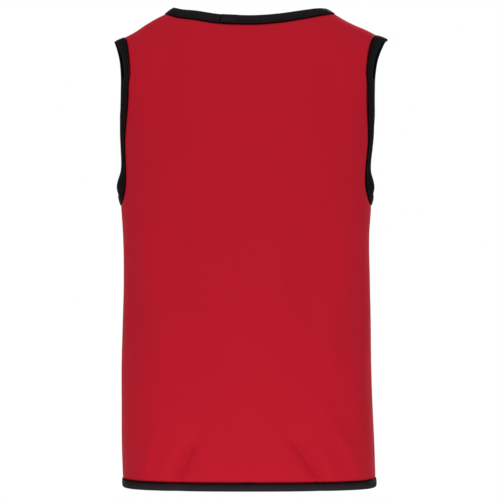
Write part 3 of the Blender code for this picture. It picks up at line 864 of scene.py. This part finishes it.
def stitch_tree():
    """Geometry nodes that sew a row of short threads along each line of a path."""
    tree = bpy.data.node_groups.new("sewn_row", "GeometryNodeTree")
    face = tree.interface
    face.new_socket("Path", in_out="INPUT", socket_type="NodeSocketGeometry")
    for label, size in (("Pitch", STITCH_PITCH), ("Length", STITCH_LENGTH), ("Thickness", THREAD)):
        face.new_socket(label, in_out="INPUT", socket_type="NodeSocketFloat").default_value = size
    face.new_socket("Thread", in_out="INPUT", socket_type="NodeSocketMaterial")
    face.new_socket("Row", in_out="OUTPUT", socket_type="NodeSocketGeometry")

    def node(kind, links, **settings):
        """Adds a node and gives its outputs."""
        added = tree.nodes.new(kind)
        for key, value in settings.items():
            setattr(added, key, value)
        for key, value in links.items():
            if isinstance(value, bpy.types.NodeSocket):
                tree.links.new(value, added.inputs[key])
            else:
                added.inputs[key].default_value = value
        return added.outputs

    given = node("NodeGroupInput", {})
    line = node("GeometryNodeMeshToCurve", {"Mesh": given["Path"]})
    spaced = {"Curve": line["Curve"], "Length": given["Pitch"]}
    marks = node("GeometryNodeResampleCurve", spaced, mode="LENGTH")
    run = node("GeometryNodeInputTangent", {})
    off = node("GeometryNodeInputNamedAttribute", {"Name": "off_cloth"}, data_type="FLOAT_VECTOR")
    laid = node("FunctionNodeAlignRotationToVector", {"Vector": run["Tangent"]}, axis="X")
    rolled = {"Rotation": laid["Rotation"], "Vector": off["Attribute"]}
    turned = node("FunctionNodeAlignRotationToVector", rolled, axis="Z", pivot_axis="X")
    thick = given["Thickness"]
    size = node("ShaderNodeCombineXYZ", {"X": given["Length"], "Y": thick, "Z": thick})
    ball = {"Segments": THREAD_SEGMENTS, "Rings": THREAD_RINGS, "Radius": 0.5}
    bead = node("GeometryNodeMeshUVSphere", ball)
    thread = node("GeometryNodeTransform", {"Geometry": bead["Mesh"], "Scale": size["Vector"]})
    set_out = {
        "Points": marks["Curve"],
        "Instance": thread["Geometry"],
        "Rotation": turned["Rotation"],
    }
    sewn = node("GeometryNodeInstanceOnPoints", set_out)
    real = node("GeometryNodeRealizeInstances", {"Geometry": sewn["Instances"]})
    smooth = node("GeometryNodeSetShadeSmooth", {"Geometry": real["Geometry"]})
    coloured = {"Geometry": smooth["Geometry"], "Material": given["Thread"]}
    dyed = node("GeometryNodeSetMaterial", coloured)
    node("NodeGroupOutput", {"Row": dyed["Geometry"]})
    return tree


def stitch_lines(ring):
    """The lines that a tape is sewn along, on both faces, and a short one on its lap."""
    width = ring["width"]
    height = (tape_height(np.array([STITCH_INSET]), width)[0] + ring["lift"])[:, None]
    seat = ring["inner"] + ring["outward"] * STITCH_INSET
    lines = [
        (seat + ring["normal"] * (height + THREAD_RISE), ring["normal"], True),
        (seat - ring["normal"] * (height + THREAD_RISE), -ring["normal"], True),
    ]
    if ring["lap"]:
        start, end = ring["lap"]
        on = (ring["along"] > start + LAP_STITCH_MARGIN) & (ring["along"] < end - LAP_STITCH_MARGIN)
        up = ring["normal"][on]
        high = tape_height(np.array([LAP_STITCH_INSET]), width)[0] + ring["lift"][on] + THREAD_RISE
        row = ring["inner"][on] + ring["outward"][on] * LAP_STITCH_INSET
        lines.append((row + up * high[:, None], up, False))
    return lines


def stitches_piece(name, lines, tree, thread):
    """Sewn rows along lines of points, each with its direction off the cloth."""
    points, edges, offs = [], [], []
    for line, off, closed in lines:
        first = sum(len(part) for part in points)
        count = len(line)
        edges += [(first + i, first + i + 1) for i in range(count - 1)]
        edges += [(first + count - 1, first)] if closed else []
        points.append(line)
        offs.append(off)
    path = bpy.data.meshes.new(name + "_path")
    path.from_pydata([tuple(p) for p in np.concatenate(points)], edges, [])
    note = path.attributes.new("off_cloth", "FLOAT_VECTOR", "POINT")
    note.data.foreach_set("vector", np.concatenate(offs).astype(np.float32).ravel())
    guide = add_object(name + "_path", path)
    sew = guide.modifiers.new("Sew", "NODES")
    sew.node_group = tree
    for item in tree.interface.items_tree:
        if item.name == "Thread" and item.in_out == "INPUT":
            sew[item.identifier] = thread
    graph = bpy.context.evaluated_depsgraph_get()
    mesh = bpy.data.meshes.new_from_object(guide.evaluated_get(graph))
    mesh.name = name
    piece = add_object(name, mesh)
    bpy.data.objects.remove(guide)
    return piece


# Finishes


def operator(operation, flipped=False):
    """A method of a Number that adds the Math node of one operation."""

    def apply(self, *other):
        values = (*other, self) if flipped else (self, *other)
        return self.finish.maths(operation, *values)

    return apply


class Number:
    """A value inside a finish, which adds, multiplies and so on as a number does."""

    def __init__(self, finish, socket):
        self.finish = finish
        self.socket = socket

    __add__ = operator("ADD")
    __radd__ = operator("ADD", flipped=True)
    __sub__ = operator("SUBTRACT")
    __rsub__ = operator("SUBTRACT", flipped=True)
    __mul__ = operator("MULTIPLY")
    __rmul__ = operator("MULTIPLY", flipped=True)
    __truediv__ = operator("DIVIDE")
    __abs__ = operator("ABSOLUTE")


class Finish:
    """A material being put together from nodes."""

    def __init__(self, name, roughness, ior):
        self.material = bpy.data.materials.new(name)
        self.material.use_nodes = True
        self.tree = self.material.node_tree
        self.shader = self.tree.nodes["Principled BSDF"]
        self.shader.inputs["Roughness"].default_value = roughness
        self.shader.inputs["IOR"].default_value = ior

    def node(self, kind, sockets, **settings):
        """Adds a node: its settings first, then the values or links of its sockets."""
        added = self.tree.nodes.new(kind)
        for name, value in settings.items():
            setattr(added, name, value)
        for name, value in sockets.items():
            self.join(value, added.inputs[name])
        return added

    def join(self, value, socket):
        if isinstance(value, Number):
            self.tree.links.new(value.socket, socket)
        else:
            socket.default_value = value

    def maths(self, operation, *values):
        sockets = dict(enumerate(values))
        return Number(self, self.node("ShaderNodeMath", sockets, operation=operation).outputs[0])

    def places(self, layer):
        """The two coordinates of one of the piece's own maps, in metres, and both as one."""
        uv = Number(self, self.node("ShaderNodeUVMap", {}, uv_map=layer).outputs["UV"])
        parts = self.node("ShaderNodeSeparateXYZ", {"Vector": uv}).outputs
        return Number(self, parts["X"]), Number(self, parts["Y"]), uv

    def place(self):
        """The place within the piece, in metres."""
        return Number(self, self.node("ShaderNodeTexCoord", {}).outputs["Object"])

    def wave(self, value, pitch):
        """A wave between -1 and 1 that comes back at each pitch."""
        return self.maths("SINE", value * (2 * np.pi / pitch))

    def bell(self, value, reach):
        """One at nought, falling off smoothly over the reach."""
        share = value / reach
        return self.maths("EXPONENT", share * share * -1.0)

    def noise(self, where, scale, detail, stretch=(1.0, 1.0, 1.0)):
        """Soft uneven values round nought, from -0.5 to 0.5."""
        moved = self.node("ShaderNodeMapping", {"Vector": where, "Scale": stretch})
        cloud = self.node(
            "ShaderNodeTexNoise",
            {"Vector": Number(self, moved.outputs[0]), "Scale": scale, "Detail": detail},
        )
        return Number(self, cloud.outputs[0]) - 0.5

    def blend(self, share, low, high):
        """A colour between two, each a plain one or another blend's."""
        mix = self.node("ShaderNodeMix", {"Factor": share}, data_type="RGBA", clamp_factor=True)
        for place, tone in zip(MIX_COLOURS, (low, high)):
            self.join(tone if isinstance(tone, Number) else (*tone, 1.0), mix.inputs[place])
        return Number(self, mix.outputs[MIX_RESULT])

    def colour(self, tone):
        self.join(tone, self.shader.inputs["Base Color"])

    def relief(self, height):
        """Fine relief from a height in metres."""
        bump = self.node("ShaderNodeBump", {"Height": height, "Distance": 1.0, "Strength": 1.0})
        self.tree.links.new(bump.outputs["Normal"], self.shader.inputs["Normal"])


def knit_finish(name, low, high, painted_shade, sheen):
    """A fine jersey knit: columns of looped legs, faint bars and mottling, pressed seams
    and small puckers where the tapes are sewn on, and painted shade: the colour darkens
    beside the tapes' edges and along the seams."""
    f = Finish(name, CLOTH_ROUGHNESS, CLOTH_IOR)
    f.shader.inputs["Sheen Weight"].default_value = CLOTH_SHEEN
    f.shader.inputs["Sheen Roughness"].default_value = CLOTH_SHEEN_ROUGHNESS
    f.shader.inputs["Sheen Tint"].default_value = (*sheen, 1.0)
    across, up, cloth = f.places("flat_cloth")
    column = f.maths("FRACT", across / WALE_PITCH + FIRST_WALE) - 0.5
    leg = 1.0 - abs(abs(column) - KNIT_LEG) / KNIT_LEG
    loop = f.wave(up + abs(column) * WALE_PITCH, COURSE_PITCH) * 0.5 + 0.5
    knit = leg * (loop * LOOP_SHARE + (1 - LOOP_SHARE))
    mottle = f.noise(cloth, *MOTTLE)
    bars = f.noise(cloth, *BARS)
    patches = f.noise(cloth, *PATCHES)
    along_tape, off_tape, _ = f.places("by_tape")
    along_seam, off_seam, _ = f.places("by_seam")
    # Painted shade: the colour darkens near each tape's edge and along the seams; the seams'
    # pressed groove below is real relief
    by_tape = f.bell(off_tape, TAPE_PAINTED_SHADE_REACH)
    by_seam = f.bell(off_seam, SEAM_LINE)
    level = KNIT_TONE + mottle * MOTTLE_TONE + bars * BAR_TONE + patches * PATCH_TONE
    tone = f.blend(level + knit * LOOP_TONE, low, high)
    f.colour(f.blend(by_tape * TAPE_PAINTED_SHADE + by_seam * SEAM_PAINTED_SHADE, tone, painted_shade))
    uneven = 1.0 + f.noise(cloth, *PUCKERING) * PUCKER_UNEVENNESS
    drift = mottle * PUCKER_DRIFT
    ripple = f.wave(along_tape + drift, PUCKER_PITCH) * f.bell(off_tape, PUCKER_REACH)
    seam_ripple = f.wave(along_seam, SEAM_PUCKER_PITCH) * f.bell(off_seam, PUCKER_REACH)
    height = knit * KNIT_DEPTH
    for puckers in (ripple, seam_ripple):
        height = height + puckers * uneven * PUCKER_DEPTH
    f.relief(height - by_seam * SEAM_DEPTH + patches * CLOTH_WAVE)
    roughness = CLOTH_ROUGHNESS - ROUGHNESS_SPREAD / 2 + mottle * ROUGHNESS_SPREAD
    f.join(roughness, f.shader.inputs["Roughness"])
    return f.material


def tape_finish(name, width, low, high, painted_fold_light):
    """Dark twill tape: fine diagonal ribs, painted light making it paler towards the fold,
    painted shade along its free edge and its stitches, dimples along the stitches, and
    painted shadow lines where a lap begins and ends."""
    f = Finish(name, TAPE_ROUGHNESS, TAPE_IOR)
    along, out, tape = f.places("flat_tape")
    twill = f.wave(along + out, TWILL_PITCH)
    fluff = f.noise(tape, *FLUFF)
    streaks = f.noise(tape, *STREAKS)
    row = f.bell(out - STITCH_INSET, STITCH_LINE)
    after_start, after_end, _ = f.places("by_lap")
    # Painted light: the tape grows paler from its free edge towards its fold
    level = TAPE_TONE - painted_fold_light / 2 + out * (painted_fold_light / width)
    # Painted shade along the tape's free edge and along its stitch row
    level = level - f.bell(out, EDGE_LINE) * EDGE_PAINTED_SHADE - row * STITCH_PAINTED_SHADE
    # Painted shadow lines where the lap begins and, fainter, where it ends
    level = level - f.bell(after_start, LAP_SHADOW_REACH) * LAP_START_PAINTED_SHADOW
    level = level - f.bell(after_end, LAP_SHADOW_REACH) * LAP_END_PAINTED_SHADOW
    level = level + fluff * FLUFF_TONE + streaks * STREAK_TONE + twill * TWILL_TONE
    f.colour(f.blend(level, low, high))
    dimples = row * (f.wave(along, STITCH_PITCH) * 0.5 + 0.5) * DIMPLE_DEPTH
    waves = f.noise(tape, *TAPE_WAVES) * CLOTH_WAVE
    f.relief(twill * TWILL_DEPTH - dimples + waves)
    return f.material


def thread_finish(name, low, high):
    """Spun polyester thread with a little sheen."""
    f = Finish(name, THREAD_ROUGHNESS, THREAD_IOR)
    f.colour(f.blend(f.noise(f.place(), *FIBRES) * FIBRE_TONE + 0.5, low, high))
    return f.material


def floor_finish(name):
    f = Finish(name, FLOOR_ROUGHNESS, FLOOR_IOR)
    f.colour(f.blend(f.noise(f.place(), *FLOOR_CLOUDS) + 0.5, FLOOR_LOW, FLOOR_HIGH))
    return f.material


# Studio


def soft_light(name, place, target, size, power):
    lamp = bpy.data.lights.new(name, "AREA")
    lamp.size = size
    lamp.energy = power
    stand = add_object(name, lamp)
    stand.location = place
    stand.rotation_euler = (Vector(target) - Vector(place)).to_track_quat("-Z", "Y").to_euler()


def make_studio():
    scene = bpy.context.scene
    scene.world = bpy.data.worlds.new("white_room")
    scene.world.use_nodes = True
    room = scene.world.node_tree.nodes["Background"]
    room.inputs["Color"].default_value = (1.0, 1.0, 1.0, 1.0)
    room.inputs["Strength"].default_value = 1.0
    corners = [
        (x * FLOOR_REACH, y * FLOOR_REACH, FLOOR_HEIGHT)
        for x, y in ((-1, -1), (1, -1), (1, 1), (-1, 1))
    ]
    floor = mesh_object("floor", corners, [(0, 1, 2, 3)])
    floor.data.materials.append(floor_finish("pale_floor"))
    camera = add_object("camera", bpy.data.cameras.new("camera"))
    camera.location = (0.0, -CAMERA_DISTANCE, CAMERA_HEIGHT)
    camera.rotation_euler = (np.pi / 2, 0.0, 0.0)
    camera.data.lens = camera.data.sensor_width * CAMERA_DISTANCE / VIEW_WIDTH
    scene.camera = camera
    scene.view_settings.view_transform = "Standard"
    for row in LIGHTS:
        soft_light(*row)


def main():
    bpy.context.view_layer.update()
    make_studio()
    red = knit_finish("red_knit", RED_LOW, RED_HIGH, RED_PAINTED_SHADE, RED_SHEEN)
    charcoal = knit_finish(
        "charcoal_knit", CHARCOAL_LOW, CHARCOAL_HIGH, CHARCOAL_PAINTED_SHADE, CHARCOAL_SHEEN
    )
    thread = thread_finish("dark_thread", THREAD_LOW, THREAD_HIGH)
    shapes = [shape_panel(row) for row in PANELS]
    for shape in shapes:
        turn_outward(shape)
    seam_lines = [
        (np.array([shape["points"][i] for i in seam]), False)
        for shape in shapes
        for seam in shape["seams"]
    ]
    hidden = PANEL_WALL / 2 + SEAM_GAP + TAPE_WALL
    bands = {
        line: add_band(shapes, line, width - hidden, flare)
        for line, width, flare in (
            ("neck", NECK_TAPE_WIDTH, neck_flare),
            ("armhole_left", ARMHOLE_TAPE_WIDTH, armhole_flare),
            ("armhole_right", ARMHOLE_TAPE_WIDTH, armhole_flare),
            ("hem", HEM_TAPE_WIDTH, no_flare),
        )
    }
    tape_lines = [(band["inner"], True) for band in bands.values()]
    cloths = (("back_cloth", BACK_CUT, BACK_CUT_AREA), ("front_cloth", FRONT_CUT, FRONT_CUT_AREA))
    for shape, (name, cut, area) in zip(shapes, cloths):
        piece = panel_piece(shape, name, red, charcoal, tape_lines, seam_lines)
        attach(piece, "root")
        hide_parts(shape["panel"]["name"])
    tree = stitch_tree()
    tapes = (
        ("neck_tape", "neck", "neck_binding", NECK_LAP),
        ("left_armhole_tape", "armhole_left", "armhole_binding_left", None),
        ("right_armhole_tape", "armhole_right", "armhole_binding_right", None),
        ("hem_tape", "hem", "hem_binding", None),
    )
    for name, line, node, lap in tapes:
        ring = band_ring(bands[line], lap)
        # Painted light: each tape gets its own tones of the same black tape, paler at the hem and
        # darker at the armholes
        lit_tones = TAPE_PAINTED_LIGHT_TONES[line.split("_")[0]]
        piece = tape_piece(name, ring, tape_finish(name + "_twill", ring["width"], *lit_tones))
        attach(piece, "root")
        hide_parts(node)
        stitches = stitches_piece(name + "_stitches", stitch_lines(ring), tree, thread)
        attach(stitches, "root")


main()
